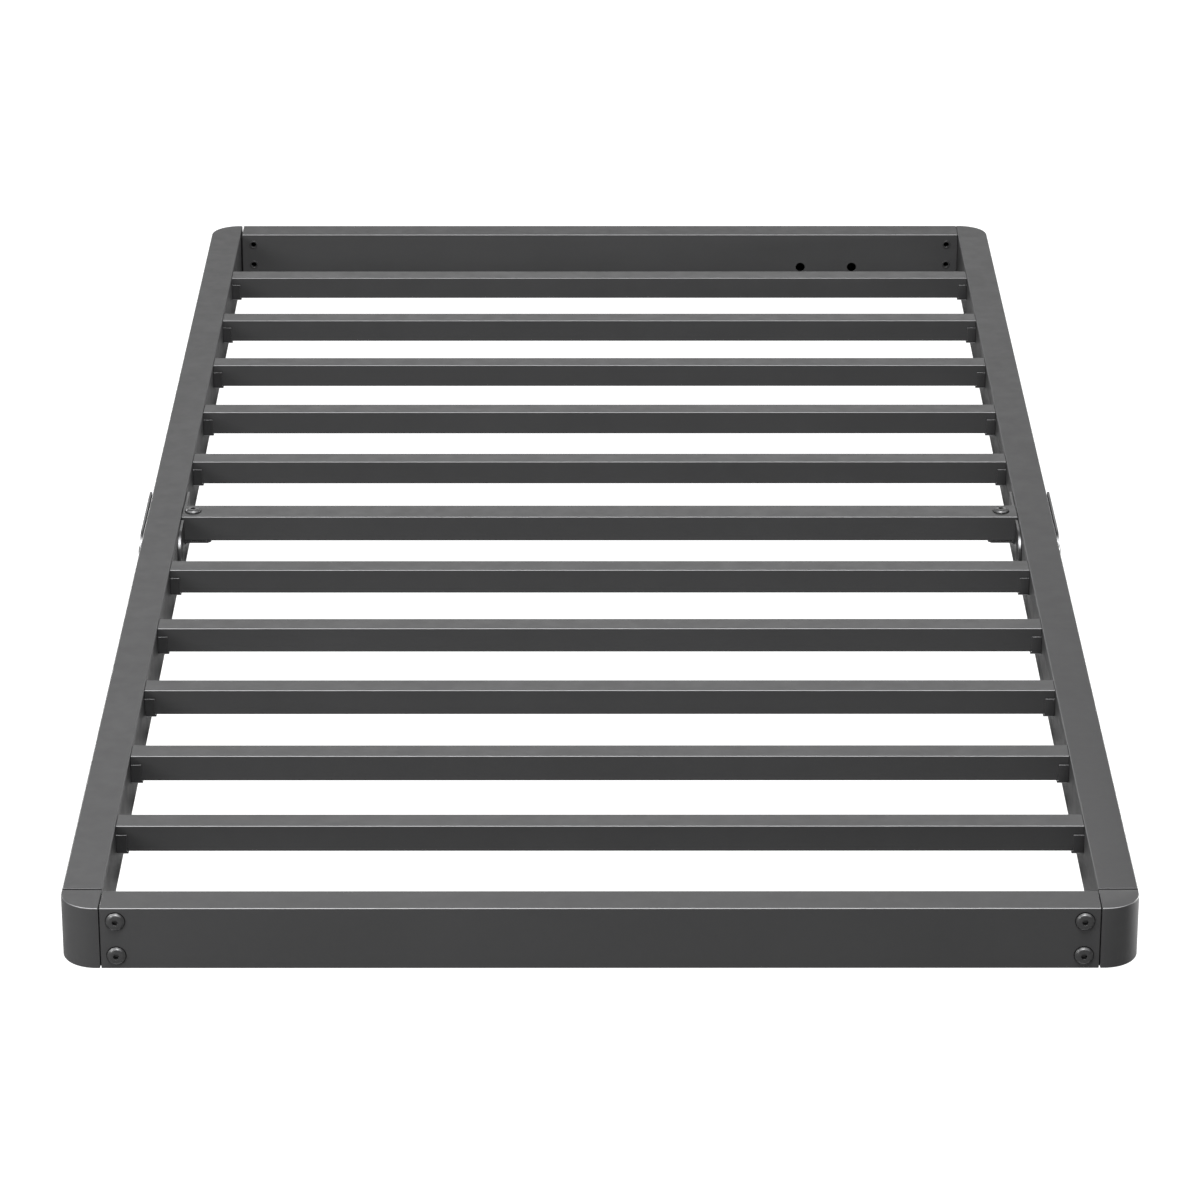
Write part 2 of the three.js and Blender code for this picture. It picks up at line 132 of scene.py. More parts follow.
def calculate(tree, operation, first, second=None):
    node = tree.nodes.new("ShaderNodeMath")
    node.operation = operation
    for socket, value in zip(node.inputs, (first, second)):
        if isinstance(value, float):
            socket.default_value = value
        elif value is not None:
            tree.links.new(value, socket)
    return node.outputs["Value"]


def painted_highlight_mask(tree):
    """1 on the rounds between level and upright faces, and 0 on flat faces and upright corners.

    It places a painted highlight. Edges that run across the frame count most, because those would catch the
    overhead light.
    """
    normal = tree.nodes.new("ShaderNodeNewGeometry").outputs["Normal"]
    split = tree.nodes.new("ShaderNodeSeparateXYZ")
    tree.links.new(normal, split.inputs["Vector"])
    tilt = calculate(tree, "ABSOLUTE", split.outputs["Z"])
    off_diagonal = calculate(tree, "ABSOLUTE", calculate(tree, "SUBTRACT", tilt, math.sqrt(0.5)))
    on_round = remap(tree, off_diagonal, 0.04, 0.24, 1, 0)
    across = remap(tree, calculate(tree, "ABSOLUTE", split.outputs["Y"]), 0.42, 0.68, 0.12, 1)
    return calculate(tree, "MULTIPLY", on_round, across)


# Detail of the coat. Scales are cycles per metre, DRIFT and FLECK_GAIN act on the tone.
DRIFT_SCALE = 9
DRIFT = 0.05
FLECK_SCALE = 700
FLECK_GAIN = 1.5
MOTTLE_SCALE = 60
GLOSS_SPREAD = 0.035
PEEL_SCALE = 1100
PEEL_DEPTH = 0.1 * MM


def powder_coat(name, tone, roughness, specular, grain=0.12, highlight_gain=13.0):
    """Satin coat: fine orange-peel grain, slow tone drift, and a painted highlight that makes the rounded
    edges lighter.
    """
    material = bpy.data.materials.new(name)
    material.use_nodes = True
    tree = material.node_tree
    shader = tree.nodes["Principled BSDF"]
    shader.inputs["Specular IOR Level"].default_value = specular
    place = tree.nodes.new("ShaderNodeTexCoord").outputs["Object"]

    drift = noise(tree, place, DRIFT_SCALE, detail=3)
    speckle = noise(tree, place, FLECK_SCALE, detail=2)
    darker = tuple((1 - DRIFT) * c for c in tone)
    lighter = tuple((1 + DRIFT) * c for c in tone)
    colour = mix_colour(tree, remap(tree, drift, 0.3, 0.7, 0, 1), darker, lighter)
    fleck_share = remap(tree, speckle, 0.58, 0.75, 0, 0.25)
    flecked = mix_colour(tree, fleck_share, colour, tuple(FLECK_GAIN * c for c in tone))
    mottle = noise(tree, place, MOTTLE_SCALE, detail=3)
    patchy = remap(tree, mottle, 0.35, 0.65, 0.75, 1)
    # Painted highlight: the rounded edges get a lighter colour, strongest on edges across the frame, where
    # the overhead light would shine.
    highlight_share = calculate(tree, "MULTIPLY", painted_highlight_mask(tree), patchy)
    highlighted = mix_colour(tree, highlight_share, flecked, tuple(highlight_gain * c for c in tone))
    tree.links.new(highlighted, shader.inputs["Base Color"])

    shine = remap(tree, mottle, 0.3, 0.7, roughness - GLOSS_SPREAD, roughness + GLOSS_SPREAD)
    tree.links.new(shine, shader.inputs["Roughness"])

    peel = noise(tree, place, PEEL_SCALE, detail=1)
    bump = tree.nodes.new("ShaderNodeBump")
    bump.inputs["Strength"].default_value = grain
    bump.inputs["Distance"].default_value = PEEL_DEPTH
    tree.links.new(peel, bump.inputs["Height"])
    tree.links.new(bump.outputs["Normal"], shader.inputs["Normal"])
    return material


# The last argument of each coat sets how strong its painted edge highlight is.
RAIL_COAT = powder_coat("rail_powder_coat", (0.015, 0.015, 0.0154), roughness=0.58, specular=0.28)
SLAT_COAT = powder_coat("slat_powder_coat", (0.0145, 0.0145, 0.0149), roughness=0.50, specular=0.28)
BRACKET_COAT = powder_coat(
    "bracket_powder_coat", (0.011, 0.011, 0.0113), roughness=0.40, specular=0.28, highlight_gain=30.0
)
INSERT_STEEL = powder_coat(
    "insert_dark_steel", (0.004, 0.004, 0.0041), roughness=0.7, specular=0.12, grain=0.05, highlight_gain=1.5
)
SCREW_BLACK = powder_coat(
    "screw_black_oxide", (0.012, 0.012, 0.0123), roughness=0.36, specular=0.3, grain=0.05, highlight_gain=6.0
)
# Painted shade: a near-black matt coat for the rings that darken the grooves round the screw heads.
GROOVE_SHADE_BLACK = powder_coat(
    "groove_painted_shade", (0.004, 0.004, 0.0041), roughness=0.8, specular=0.1, grain=0.1, highlight_gain=1.5
)


# ---------------------------------------------------------------- mesh tools


def new_piece(name, verts, faces):
    mesh = bpy.data.meshes.new(name)
    mesh.from_pydata([tuple(v) for v in verts], [], faces)
    mesh.validate()
    piece = bpy.data.objects.new(name, mesh)
    bpy.context.scene.collection.objects.link(piece)
    tidy = bmesh.new()
    tidy.from_mesh(mesh)
    bmesh.ops.recalc_face_normals(tidy, faces=tidy.faces)
    tidy.to_mesh(mesh)
    tidy.free()
    return piece


def loft(name, rings, closed_path=False):
    """A skin through rings of equal point counts. An open path gets a flat face at each end."""
    count = len(rings[0])
    verts = [point for ring in rings for point in ring]
    faces = []
    joins = len(rings) if closed_path else len(rings) - 1
    for i in range(joins):
        a, b = i * count, ((i + 1) % len(rings)) * count
        for k in range(count):
            n = (k + 1) % count
            faces.append((a + k, a + n, b + n, b + k))
    if not closed_path:
        faces.append(tuple(range(count)))
        last = (len(rings) - 1) * count
        faces.append(tuple(last + k for k in reversed(range(count))))
    return new_piece(name, verts, faces)


def rounded_section(width, height, radius, steps=EDGE_STEPS):
    """Points of a rounded rectangle about the middle, as (across, up) pairs."""
    points = []
    for centre_a, centre_b, start in (
        (width / 2 - radius, -height / 2 + radius, -90),
        (width / 2 - radius, height / 2 - radius, 0),
        (-width / 2 + radius, height / 2 - radius, 90),
        (-width / 2 + radius, -height / 2 + radius, 180),
    ):
        for k in range(steps + 1):
            angle = math.radians(start + 90 * k / steps)
            points.append((centre_a + radius * math.cos(angle), centre_b + radius * math.sin(angle)))
    return points


def cross_tube(name, low, high, wall, radius):
    """Hollow tube along X that fills the box from low to high, with deburred ends."""
    width, height = high[1] - low[1], high[2] - low[2]
    mid_y, mid_z = (low[1] + high[1]) / 2, (low[2] + high[2]) / 2

    def ring(x, inset):
        section = rounded_section(width - 2 * inset, height - 2 * inset, max(radius - inset, 0.3 * MM))
        return [(x, mid_y + a, mid_z + b) for a, b in section]

    rings = [
        ring(low[0] + DEBURR, wall),
        ring(low[0], wall - DEBURR),
        ring(low[0], DEBURR),
        ring(low[0] + DEBURR, 0),
        ring(high[0] - DEBURR, 0),
        ring(high[0], DEBURR),
        ring(high[0], wall - DEBURR),
        ring(high[0] - DEBURR, wall),
    ]
    return loft(name, rings, closed_path=True)


def extruded(name, outline, axis, start, end):
    """Closed outline swept along an axis. Its pairs are the two other axes, in X, Y, Z order."""
    def place(pair, along):
        point = list(pair)
        point.insert(axis, along)
        return tuple(point)

    rings = [[place(pair, start) for pair in outline], [place(pair, end) for pair in outline]]
    return loft(name, rings)


def arc(centre, radius, start, end, steps):
    """Points of an arc as pairs, with angles in degrees."""
    points = []
    for k in range(steps + 1):
        angle = math.radians(start + (end - start) * k / steps)
        points.append((centre[0] + radius * math.cos(angle), centre[1] + radius * math.sin(angle)))
    return points


def lathe(name, profile, axis_point, direction, steps=ROUND_STEPS):
    """Turned body. The profile holds (radius, height) pairs from its lowest centre point to its highest."""
    turn = Vector((0, 0, 1)).rotation_difference(Vector(direction)).to_matrix()
    verts = []
    faces = []
    rings = []
    for radius, height in profile:
        if radius == 0:
            rings.append([len(verts)])
            verts.append(Vector((0, 0, height)))
        else:
            rings.append(list(range(len(verts), len(verts) + steps)))
            for k in range(steps):
                angle = 2 * math.pi * k / steps
                verts.append(Vector((radius * math.cos(angle), radius * math.sin(angle), height)))
    for lower, upper in zip(rings, rings[1:]):
        for k in range(steps):
            n = (k + 1) % steps
            corners = [lower[k % len(lower)], lower[n % len(lower)]]
            corners += [upper[n % len(upper)], upper[k % len(upper)]]
            faces.append(tuple(dict.fromkeys(corners)))
    return new_piece(name, [turn @ v + Vector(axis_point) for v in verts], faces)


def rod(axis_point, direction, radius, from_height, to_height, steps=ROUND_STEPS):
    profile = [(0, from_height), (radius, from_height), (radius, to_height), (0, to_height)]
    return lathe("cutter", profile, axis_point, direction, steps)


def cuboid(low, high):
    outline = [(low[0], low[1]), (high[0], low[1]), (high[0], high[1]), (low[0], high[1])]
    return extruded("cutter", outline, 2, low[2], high[2])


def apply_modifiers(piece):
    graph = bpy.context.evaluated_depsgraph_get()
    graph.update()
    mesh = bpy.data.meshes.new_from_object(piece.evaluated_get(graph))
    piece.modifiers.clear()
    old = piece.data
    piece.data = mesh
    mesh.name = piece.name
    bpy.data.meshes.remove(old)


def combine(piece, others, operation):
    """Cuts the others away from the piece, or joins them to it, and removes them."""
    for other in others:
        modifier = piece.modifiers.new("combine", "BOOLEAN")
        modifier.operation = operation
        modifier.solver = "EXACT"
        modifier.object = other
    apply_modifiers(piece)
    for other in others:
        bpy.data.objects.remove(other)
    return piece


def cut(piece, *cutters):
    return combine(piece, cutters, "DIFFERENCE")


def join(piece, *additions):
    return combine(piece, additions, "UNION")


def mirrored(piece, name):
    """The same piece reflected to the right-hand side."""
    mesh = piece.data.copy()
    mesh.transform(Matrix.Scale(-1, 4, (1, 0, 0)))
    mesh.flip_normals()
    twin = bpy.data.objects.new(name, mesh)
    bpy.context.scene.collection.objects.link(twin)
    return twin


def soften(piece, width, segments=2):
    """Small rounds on the sharp edges, and shading that keeps flats flat."""
    if width:
        bevel = piece.modifiers.new("soft_edges", "BEVEL")
        bevel.width = width
        bevel.segments = segments
        bevel.limit_method = "ANGLE"
        bevel.angle_limit = math.radians(BEVEL_FROM_ANGLE)
        bevel.use_clamp_overlap = True
        apply_modifiers(piece)
    mesh = piece.data
    mesh.polygons.foreach_set("use_smooth", [True] * len(mesh.polygons))
    mesh.set_sharp_from_angle(angle=math.radians(SHARP_FROM_ANGLE))
    weighted = piece.modifiers.new("flat_faces", "WEIGHTED_NORMAL")
    weighted.keep_sharp = True
    weighted.weight = 60
    return piece


def finish_piece(piece, material, slot, *nodes):
    piece.data.materials.clear()
    piece.data.materials.append(material)
    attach(piece, "root")
    if nodes:
        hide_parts(*nodes)


def finish_pair(left, base, material, slot, node_base):
    """Finishes a left-hand piece and its mirror image."""
    right = mirrored(left, f"{base}_right_shape")
    for side, piece in (("left", left), ("right", right)):
        finish_piece(piece, material, slot, f"{node_base}_{side}")


# ---------------------------------------------------------------- rails


def corner_outline(start_y, end_y, inset):
    """Plan of a rail on the left whose outer corner at end_y is rounded. Every side moves in by inset."""
    outer_x = -HALF_WIDTH + inset
    inner_x = -RAIL_INNER - inset
    radius = min(CORNER_RADIUS - inset, 0.98 * (inner_x - outer_x))
    direction = 1 if end_y > start_y else -1
    last_y = end_y - direction * inset
    centre = (outer_x + radius, last_y - direction * radius)
    points = [(inner_x, start_y), (inner_x, last_y)]
    points += arc(centre, radius, direction * 90, direction * 180, CORNER_STEPS)
    points.append((outer_x, start_y))
    return points


def upright_shell(name, start_y, end_y):
    """Rail or corner with rounded top and bottom edges, hollow, open and square at start_y."""
    direction = 1 if end_y > start_y else -1
    beyond = start_y - direction * OVERCUT
    levels = []
    for k in range(EDGE_STEPS + 1):
        angle = math.pi / 2 * k / EDGE_STEPS
        levels.append((EDGE_RADIUS * (1 - math.sin(angle)), EDGE_RADIUS * (1 - math.cos(angle))))
    rings = [[(x, y, height) for x, y in corner_outline(beyond, end_y, inset)] for inset, height in levels]
    upper = [(inset, RAIL_HEIGHT - height) for inset, height in reversed(levels)]
    rings += [[(x, y, height) for x, y in corner_outline(beyond, end_y, inset)] for inset, height in upper]
    shell = loft(name, rings)
    hollow = extruded(
        "cutter",
        corner_outline(beyond - direction * OVERCUT, end_y, RAIL_WALL),
        2,
        RAIL_WALL,
        RAIL_HEIGHT - RAIL_WALL,
    )
    far_y = beyond - direction * 2 * OVERCUT
    square_end = cuboid(
        (-HALF_WIDTH - OVERCUT, min(start_y, far_y), -OVERCUT),
        (-RAIL_INNER + OVERCUT, max(start_y, far_y), RAIL_HEIGHT + OVERCUT),
    )
    return cut(shell, hollow, square_end)


def side_rails():
    rivet_low, rivet_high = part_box("plate_rivet_left")
    hole_y = (rivet_low[1] + rivet_high[1]) / 2
    rail = upright_shell("side_rail_left_shape", RAIL_LOW[1] + SEAM_RELIEF, RAIL_HIGH[1])
    rivet_axis = (-HALF_WIDTH, hole_y, RAIL_HEIGHT / 2)
    cut(rail, rod(rivet_axis, (1, 0, 0), CLEARANCE_RADIUS, -OVERCUT, RAIL_WIDTH + OVERCUT))
    soften(rail, DEBURR)
    finish_pair(rail, "side_rail", RAIL_COAT, "rail_coating", "side_rail")


def front_corners():
    corner = upright_shell("front_corner_left_shape", CORNER_HIGH[1] - SEAM_RELIEF, CORNER_LOW[1])
    soften(corner, DEBURR)
    finish_pair(corner, "front_corner", RAIL_COAT, "rail_coating", "front_corner")


def screw_places(end):
    """Centres of the four screws of an end rail, as (x, z)."""
    places = []
    for side in ("left", "right"):
        for level in ("lower", "upper"):
            low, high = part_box(f"{end}_screw_{side}_{level}")
            places.append(((low[0] + high[0]) / 2, (low[2] + high[2]) / 2))
    return places


REAR_HOLES = (247 * MM, 310 * MM)
REAR_HOLE_HEIGHT = 17 * MM
REAR_HOLE_RADIUS = 5.7 * MM
INNER_HOLE_RADIUS = 3.4 * MM
RECESS_INNER = 7.7 * MM
RECESS_OUTER = 8.9 * MM
RECESS_DEPTH = 1.1 * MM


def recess_cutter(face_point, outward):
    """Ring-shaped groove round a screw head, sunk into the face at face_point."""
    profile = [
        (RECESS_INNER, -RECESS_DEPTH),
        (RECESS_OUTER, -RECESS_DEPTH),
        (RECESS_OUTER, OVERCUT),
        (RECESS_INNER, OVERCUT),
    ]
    return turned_ring("cutter", profile, face_point, outward)


def end_rail(end, low, high):
    """End rail with screw holes in its outer wall and threaded holes in its inner wall."""
    outward = -1 if end == "front" else 1
    middle_y = (low[1] + high[1]) / 2
    reach = RAIL_WIDTH / 2 + OVERCUT
    rail = cross_tube(f"{end}_rail_shape", low, high, RAIL_WALL, EDGE_RADIUS)
    cutters = []
    for x, z in screw_places(end):
        cutters.append(rod((x, middle_y, z), (0, outward, 0), CLEARANCE_RADIUS, 0, reach, HOLE_STEPS))
        cutters.append(rod((x, middle_y, z), (0, -outward, 0), INNER_HOLE_RADIUS, 0, reach, HOLE_STEPS))
        outer_y = low[1] if end == "front" else high[1]
        cutters.append(recess_cutter((x, outer_y, z), (0, outward, 0)))
    if end == "rear":
        for x in REAR_HOLES:
            centre = (x, middle_y, REAR_HOLE_HEIGHT)
            cutters.append(rod(centre, (0, -1, 0), REAR_HOLE_RADIUS, 0, reach))
    cut(rail, *cutters)
    soften(rail, 0.3 * MM)
    finish_piece(rail, RAIL_COAT, "rail_coating", f"{end}_rail")


# ---------------------------------------------------------------- slats and cradles


def slats():
    for name in sorted(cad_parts):
        if name.startswith("slat_"):
            low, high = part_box(name)
            slat = cross_tube(f"{name}_shape", low, high, SLAT_WALL, SLAT_EDGE_RADIUS)
            soften(slat, 0)
            finish_piece(slat, SLAT_COAT, "slat_coating", name)


def centre_slat():
    low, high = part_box("centre_slat")
    slat = cross_tube("centre_slat_shape", low, high, SLAT_WALL, SLAT_EDGE_RADIUS)
    cutters = []
    for side in ("left", "right"):
        screw_low, screw_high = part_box(f"centre_screw_{side}")
        x = (screw_low[0] + screw_high[0]) / 2
        top = high[2] - low[2] + OVERCUT
        cutters.append(rod((x, 0, low[2]), (0, 0, 1), CLEARANCE_RADIUS, -OVERCUT, top, HOLE_STEPS))
        cutters.append(recess_cutter((x, 0, high[2]), (0, 0, 1)))
    cut(slat, *cutters)
    soften(slat, 0.25 * MM)
    finish_piece(slat, SLAT_COAT, "slat_coating", "centre_slat")


def cradle(name, low, high):
    """Bent U of thick strip, with a round at each bend and at each free corner."""
    wall = 2 * MM
    outer_bend = 3 * MM
    inner_bend = outer_bend - wall + 0.2 * MM
    y0, y1 = low[1], high[1]
    z0, z1 = low[2], high[2]
    outline = [(y0, z1)]
    outline += arc((y0 + outer_bend, z0 + outer_bend), outer_bend, 180, 270, EDGE_STEPS)
    outline += arc((y1 - outer_bend, z0 + outer_bend), outer_bend, 270, 360, EDGE_STEPS)
    outline += [(y1, z1), (y1 - wall, z1)]
    outline += arc((y1 - wall - inner_bend, z0 + wall + inner_bend), inner_bend, 0, -90, 3)
    outline += arc((y0 + wall + inner_bend, z0 + wall + inner_bend), inner_bend, 270, 180, 3)
    outline.append((y0 + wall, z1))
    piece = extruded(name, outline, 0, low[0], high[0])
    lip_end = high[0] - 1.2 * MM
    above_floor = z0 + wall + 1.5 * MM
    beyond = (high[0] + OVERCUT, y1 + OVERCUT, z1 + OVERCUT)
    cut(piece, cuboid((lip_end, y0 - OVERCUT, above_floor), beyond))
    return soften(piece, 0.4 * MM, segments=3)


def cradles():
    for name in sorted(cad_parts):
        if name.startswith("cradle_") and name.endswith("_left"):
            base = name.removesuffix("_left")
            low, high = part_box(name)
            finish_pair(cradle(f"{name}_shape", low, high), base, BRACKET_COAT, "bracket_coating", base)


# ---------------------------------------------------------------- plates at mid-length


def plate_outline(low, high):
    """Square rear end and semicircular front end, as (y, z) pairs."""
    radius = (high[2] - low[2]) / 2
    centre = (low[1] + radius, (low[2] + high[2]) / 2)
    outline = [(high[1], low[2]), (high[1], high[2])]
    return outline + arc(centre, radius, 90, 270, CORNER_STEPS), centre


def side_plates():
    low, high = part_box("side_plate_left")
    outline, centre = plate_outline(low, high)
    plate = extruded("side_plate_left_shape", outline, 0, low[0], high[0])
    cut(plate, rod((low[0], *centre), (1, 0, 0), CLEARANCE_RADIUS, -OVERCUT, 2 * OVERCUT))
    soften(plate, 0.5 * MM, segments=3)
    finish_pair(plate, "side_plate", BRACKET_COAT, "bracket_coating", "side_plate")


def centre_brackets():
    """Inner plate notched for the centre slat, with the notch's tongue bent inwards as its seat."""
    low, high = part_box("centre_bracket_left")
    slat_low, slat_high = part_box("centre_slat")
    thickness = 2.5 * MM
    tab_thickness = 2.2 * MM
    chamfer = 3.5 * MM
    corner = 3 * MM
    tab_top = slat_low[2] - 0.3 * MM
    half_notch = (slat_high[1] - slat_low[1]) / 2 + 0.6 * MM
    half_tab = (slat_high[1] - slat_low[1]) / 2
    inner_x = low[0] + thickness

    outline, centre = plate_outline(low, high)
    plate = extruded("centre_bracket_left_shape", outline, 0, low[0], inner_x)
    notch = [(-half_notch, tab_top), (half_notch, tab_top)]
    notch += arc((half_notch + corner, high[2] - corner), corner, 180, 90, EDGE_STEPS)
    notch += [(half_notch + corner, high[2] + OVERCUT), (-half_notch - corner, high[2] + OVERCUT)]
    notch += arc((-half_notch - corner, high[2] - corner), corner, 90, 0, EDGE_STEPS)
    cut(
        plate,
        extruded("cutter", notch, 0, low[0] - OVERCUT, inner_x + OVERCUT),
        rod((low[0], *centre), (1, 0, 0), CLEARANCE_RADIUS, -OVERCUT, 2 * OVERCUT),
    )
    tab = [
        (low[0], -half_tab),
        (high[0] - chamfer, -half_tab),
        (high[0], -half_tab + chamfer),
        (high[0], half_tab - chamfer),
        (high[0] - chamfer, half_tab),
        (low[0], half_tab),
    ]
    join(plate, extruded("addition", tab, 2, tab_top - tab_thickness, tab_top))
    bend = 3 * MM
    under = [(inner_x - 1 * MM, tab_top - tab_thickness - bend)]
    under += arc((inner_x + bend, tab_top - tab_thickness - bend), bend, 180, 90, EDGE_STEPS)
    under.append((inner_x - 1 * MM, tab_top - tab_thickness + 0.5 * MM))
    join(plate, extruded("addition", under, 1, -half_tab, half_tab))
    twin = mirrored(plate, "centre_bracket_right_shape")
    for side, bracket in (("left", plate), ("right", twin)):
        screw_low, screw_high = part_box(f"centre_screw_{side}")
        screw_x = (screw_low[0] + screw_high[0]) / 2
        foot, up = (screw_x, 0, tab_top), (0, 0, 1)
        cut(bracket, rod(foot, up, CLEARANCE_RADIUS, -2 * OVERCUT, OVERCUT, HOLE_STEPS))
        soften(bracket, 0.45 * MM, segments=3)
        finish_piece(bracket, BRACKET_COAT, "bracket_coating", f"centre_bracket_{side}")


# ---------------------------------------------------------------- fasteners


HEAD_HEIGHT = 3 * MM
HEAD_RIM = 0.9 * MM
SOCKET_RADIUS = 2.9 * MM
SOCKET_DEPTH = 3.2 * MM
THREAD_RADIUS = 4 * MM
THREAD_PITCH = 1.25 * MM
THREAD_DEPTH = 0.6 * MM
DOME_STEPS = 8


def button_screw(name, seat, direction, head_radius, shank_length):
    """Flanged button head with a hexagonal socket, and a shank with its thread's grooves."""
    profile = [(0, -shank_length), (THREAD_RADIUS - 1 * MM, -shank_length)]
    height = -shank_length + 0.8 * MM
    while height < -4 * MM:
        profile += [(THREAD_RADIUS, height), (THREAD_RADIUS - THREAD_DEPTH, height + THREAD_PITCH / 2)]
        height += THREAD_PITCH
    profile += [(THREAD_RADIUS, height), (THREAD_RADIUS, 0)]
    profile += [(head_radius - 0.3 * MM, 0), (head_radius, 0.25 * MM)]
    profile += [(head_radius, HEAD_RIM - 0.2 * MM), (head_radius - 0.25 * MM, HEAD_RIM)]
    top_radius = 0.46 * head_radius
    for k in range(1, DOME_STEPS + 1):
        angle = math.pi / 2 * k / DOME_STEPS
        radius = top_radius + (head_radius - 0.8 * MM - top_radius) * math.cos(angle)
        profile.append((radius, HEAD_RIM + (HEAD_HEIGHT - HEAD_RIM) * math.sin(angle)))
    profile.append((0, HEAD_HEIGHT))
    screw = lathe(name, profile, seat, direction)
    socket = rod(seat, direction, SOCKET_RADIUS, HEAD_HEIGHT - SOCKET_DEPTH, HEAD_HEIGHT + 1 * MM, 6)
    cut(screw, socket)
    return soften(screw, 0.12 * MM)


def end_screws():
    for end, outward in (("front", -1), ("rear", 1)):
        for side in ("left", "right"):
            for level in ("lower", "upper"):
                name = f"{end}_screw_{side}_{level}"
                low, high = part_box(name)
                head_face = low[1] if outward < 0 else high[1]
                tip = high[1] if outward < 0 else low[1]
                seat_y = head_face - outward * HEAD_HEIGHT
                seat = ((low[0] + high[0]) / 2, seat_y, (low[2] + high[2]) / 2)
                screw = button_screw(
                    f"{name}_shape",
                    seat,
                    (0, outward, 0),
                    (high[0] - low[0]) / 2,
                    abs(seat_y - tip),
                )
                finish_piece(screw, SCREW_BLACK, "fastener_black", name)


def centre_screws():
    for side in ("left", "right"):
        name = f"centre_screw_{side}"
        low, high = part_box(name)
        seat = ((low[0] + high[0]) / 2, (low[1] + high[1]) / 2, high[2] - HEAD_HEIGHT)
        screw = button_screw(
            f"{name}_shape", seat, (0, 0, 1), (high[0] - low[0]) / 2, seat[2] - low[2]
        )
        finish_piece(screw, SCREW_BLACK, "fastener_black", name)


def plate_rivets():
    low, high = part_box("plate_rivet_left")
    centre = ((low[1] + high[1]) / 2, (low[2] + high[2]) / 2)
    radius = (high[2] - low[2]) / 2
    outer_height, inner_height = 3.2 * MM, 1 * MM
    span = high[0] - low[0] - outer_height - inner_height
    profile = [(0, -inner_height)]
    for k in range(1, DOME_STEPS + 1):
        angle = math.pi / 2 * k / DOME_STEPS
        profile.append((radius * math.sin(angle), -inner_height * math.cos(angle)))
    shank = 4 * MM
    profile += [(shank, 0), (shank, span), (radius, span)]
    for k in range(1, DOME_STEPS + 1):
        angle = math.pi / 2 * k / DOME_STEPS
        profile.append((radius * math.cos(angle), span + outer_height * math.sin(angle)))
    profile[-1] = (0, span + outer_height)
    inner_seat = (high[0] - inner_height, *centre)
    rivet = lathe("plate_rivet_left_shape", profile, inner_seat, (-1, 0, 0))
    soften(rivet, 0)
    finish_pair(rivet, "plate_rivet", SCREW_BLACK, "fastener_black", "plate_rivet")


def insert_collars():
    """Rim of each threaded hole in an end rail's inner wall."""
    for end, low, high in (("front", FRONT_LOW, FRONT_HIGH), ("rear", REAR_LOW, REAR_HIGH)):
        inward = 1 if end == "front" else -1
        face_y = high[1] if end == "front" else low[1]
        for number, (x, z) in enumerate(screw_places(end), start=1):
            bore, sleeve, rim, rise = 3.2 * MM, 3.38 * MM, 4.9 * MM, 0.8 * MM
            depth, lift = -5 * MM, 0.05 * MM
            profile = [(bore, depth), (sleeve, depth), (sleeve, lift), (rim, lift)]
            profile += [(rim, rise - 0.25 * MM), (rim - 0.3 * MM, rise), (bore + 0.3 * MM, rise)]
            profile += [(bore, rise - 0.3 * MM)]
            name = f"{end}_rail_threaded_collar_{number}"
            collar = turned_ring(name, profile, (x, face_y, z), (0, inward, 0))
            soften(collar, 0)
            finish_piece(collar, SCREW_BLACK, "fastener_black")


def groove_shade_rings():
    """Black rings in the grooves round the screw heads: painted shade that darkens the grooves."""
    inner, outer = RECESS_INNER + 0.1 * MM, RECESS_OUTER - 0.1 * MM
    top = -0.1 * MM
    bottom = 0.1 * MM - RECESS_DEPTH
    profile = [(inner, bottom), (outer, bottom), (outer, top), (inner, top)]
    slat_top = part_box("centre_slat")[1][2]
    places = [((x, FRONT_LOW[1], z), (0, -1, 0)) for x, z in screw_places("front")]
    places += [((x, REAR_HIGH[1], z), (0, 1, 0)) for x, z in screw_places("rear")]
    for side in ("left", "right"):
        low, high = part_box(f"centre_screw_{side}")
        places.append((((low[0] + high[0]) / 2, 0, slat_top), (0, 0, 1)))
    for number, (place, direction) in enumerate(places, start=1):
        shade_ring = turned_ring(f"groove_shade_ring_{number:02d}", profile, place, direction)
        soften(shade_ring, 0)
        finish_piece(shade_ring, GROOVE_SHADE_BLACK, "fastener_black")


def turned_ring(name, profile, axis_point, direction):
    """A profile that doesn't reach the axis, turned into a closed ring."""
    turn = Vector((0, 0, 1)).rotation_difference(Vector(direction)).to_matrix()
    rings = []
    for radius, height in profile:
        ring = []
        for k in range(ROUND_STEPS):
            angle = 2 * math.pi * k / ROUND_STEPS
            point = Vector((radius * math.cos(angle), radius * math.sin(angle), height))
            ring.append(turn @ point + Vector(axis_point))
        rings.append(ring)
    return loft(name, rings, closed_path=True)


def carried_over():
    """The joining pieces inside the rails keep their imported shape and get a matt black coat."""
    for name in sorted(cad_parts):
        if name.startswith("side_sleeve") or "_insert_" in name:
            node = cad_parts[name]
            for slot in node.material_slots:
                slot.material = INSERT_STEEL


# ---------------------------------------------------------------- floor and light


FLOOR_REACH = 40


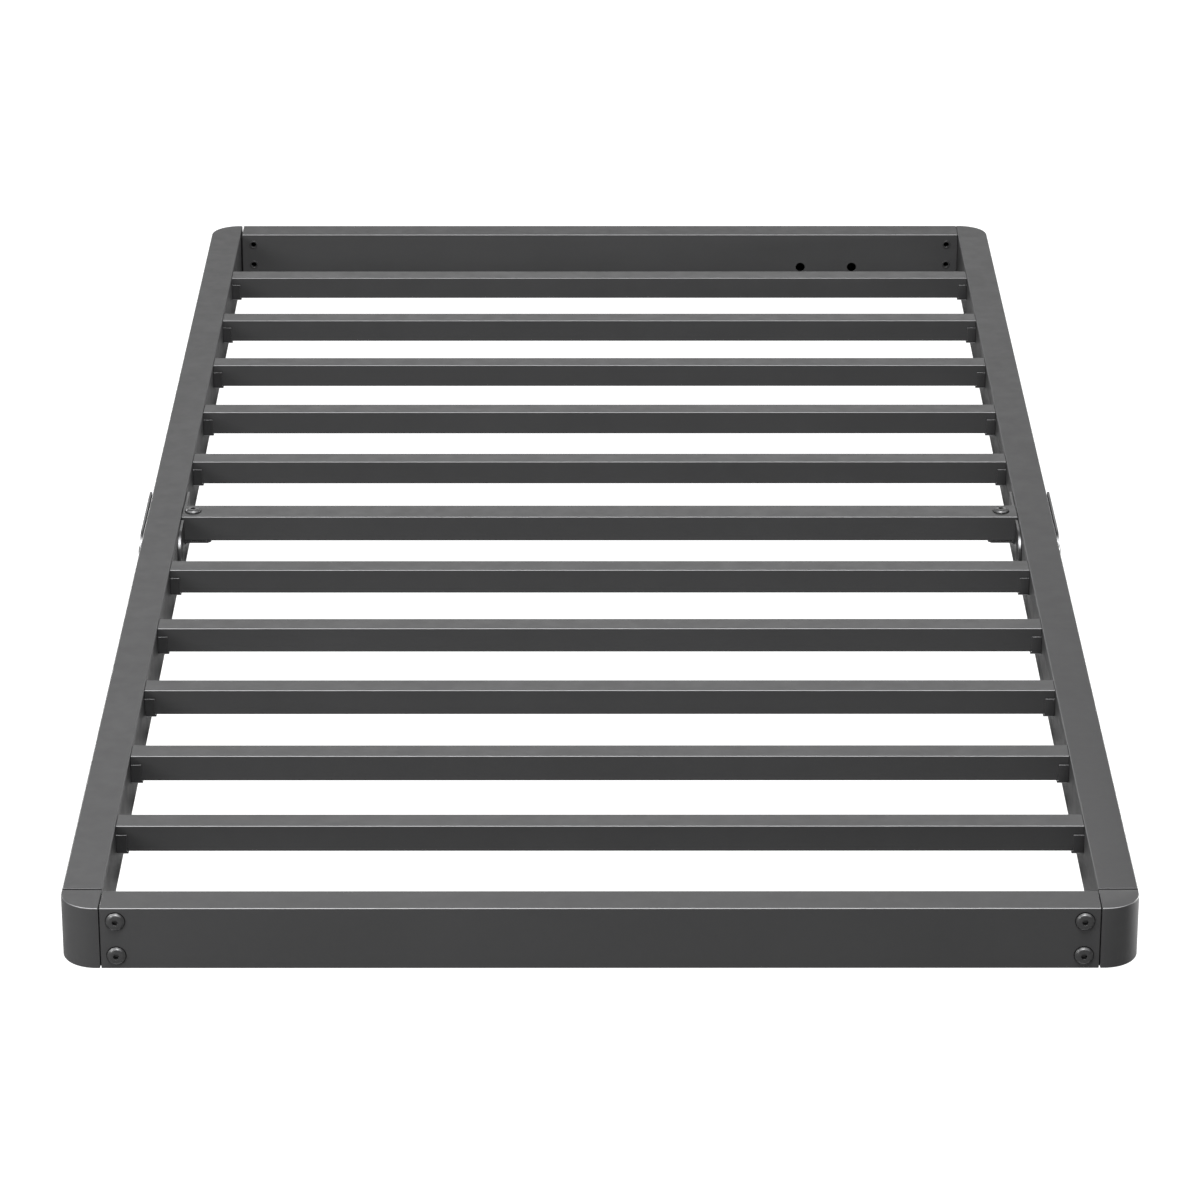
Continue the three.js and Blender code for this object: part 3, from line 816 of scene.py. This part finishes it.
def floor_plane(name, height, grey, glow):
    """A level plane that reflects part of the light and adds an even glow, like a light table."""
    material = bpy.data.materials.new(name)
    material.use_nodes = True
    shader = material.node_tree.nodes["Principled BSDF"]
    shader.inputs["Base Color"].default_value = (grey, grey, grey, 1)
    shader.inputs["Emission Color"].default_value = (1, 1, 1, 1)
    shader.inputs["Emission Strength"].default_value = glow
    shader.inputs["Roughness"].default_value = 1
    shader.inputs["Specular IOR Level"].default_value = 0
    reach = FLOOR_REACH
    corners = [(-reach, -reach, 0), (reach, -reach, 0), (reach, reach, 0), (-reach, reach, 0)]
    floor = new_piece(name, corners, [(0, 1, 2, 3)])
    floor.location.z = height
    floor.data.materials.append(material)
    return floor


def make_floor():
    """A white floor for the picture, over a grey one that takes the shade and bounces light back."""
    white = floor_plane("white_floor", height=-0.5 * MM, grey=0.05, glow=1.15)
    white.visible_diffuse = False
    white.visible_glossy = False
    white.visible_shadow = False
    grey = floor_plane("bounce_floor", height=-1.5 * MM, grey=0.26, glow=0.04)
    grey.visible_camera = False


def area_light(name, location, target, size, power, size_y):
    data = bpy.data.lights.new(name, "AREA")
    data.shape = "RECTANGLE"
    data.size = size
    data.size_y = size_y
    data.energy = power
    light = bpy.data.objects.new(name, data)
    light.location = location
    direction = Vector(target) - Vector(location)
    light.rotation_euler = direction.to_track_quat("-Z", "Y").to_euler()
    bpy.context.scene.collection.objects.link(light)


def make_light():
    world = bpy.data.worlds.new("studio")
    bpy.context.scene.world = world
    world.use_nodes = True
    background = world.node_tree.nodes["Background"]
    background.inputs["Color"].default_value = (1, 1, 1, 1)
    background.inputs["Strength"].default_value = 0.5
    centre = (0, 0, 0)
    right_corner, left_corner = (0.45, -0.93, 0.03), (-0.45, -0.93, 0.03)
    area_light("overhead", (0, -1.75, 3.9), centre, size=1.4, size_y=2.4, power=540)
    area_light("back", (0, 9, 4.4), centre, size=8, size_y=3, power=220)
    area_light("front_left", (-1.8, -2.0, 1.0), (-0.3, -0.9, 0), size=0.8, size_y=0.8, power=55)
    area_light("left", (-4, -0.8, 1.6), centre, size=4, size_y=2, power=60)
    area_light("low_right", (2.2, 0.5, 0.1), right_corner, size=0.9, size_y=0.18, power=120)
    area_light("low_left", (-2.2, 2.5, 0.15), left_corner, size=0.9, size_y=0.25, power=60)


make_camera()
side_rails()
front_corners()
end_rail("front", FRONT_LOW, FRONT_HIGH)
end_rail("rear", REAR_LOW, REAR_HIGH)
slats()
centre_slat()
cradles()
side_plates()
centre_brackets()
end_screws()
centre_screws()
plate_rivets()
insert_collars()
groove_shade_rings()
carried_over()
make_floor()
make_light()
bpy.context.scene.view_settings.view_transform = "Standard"
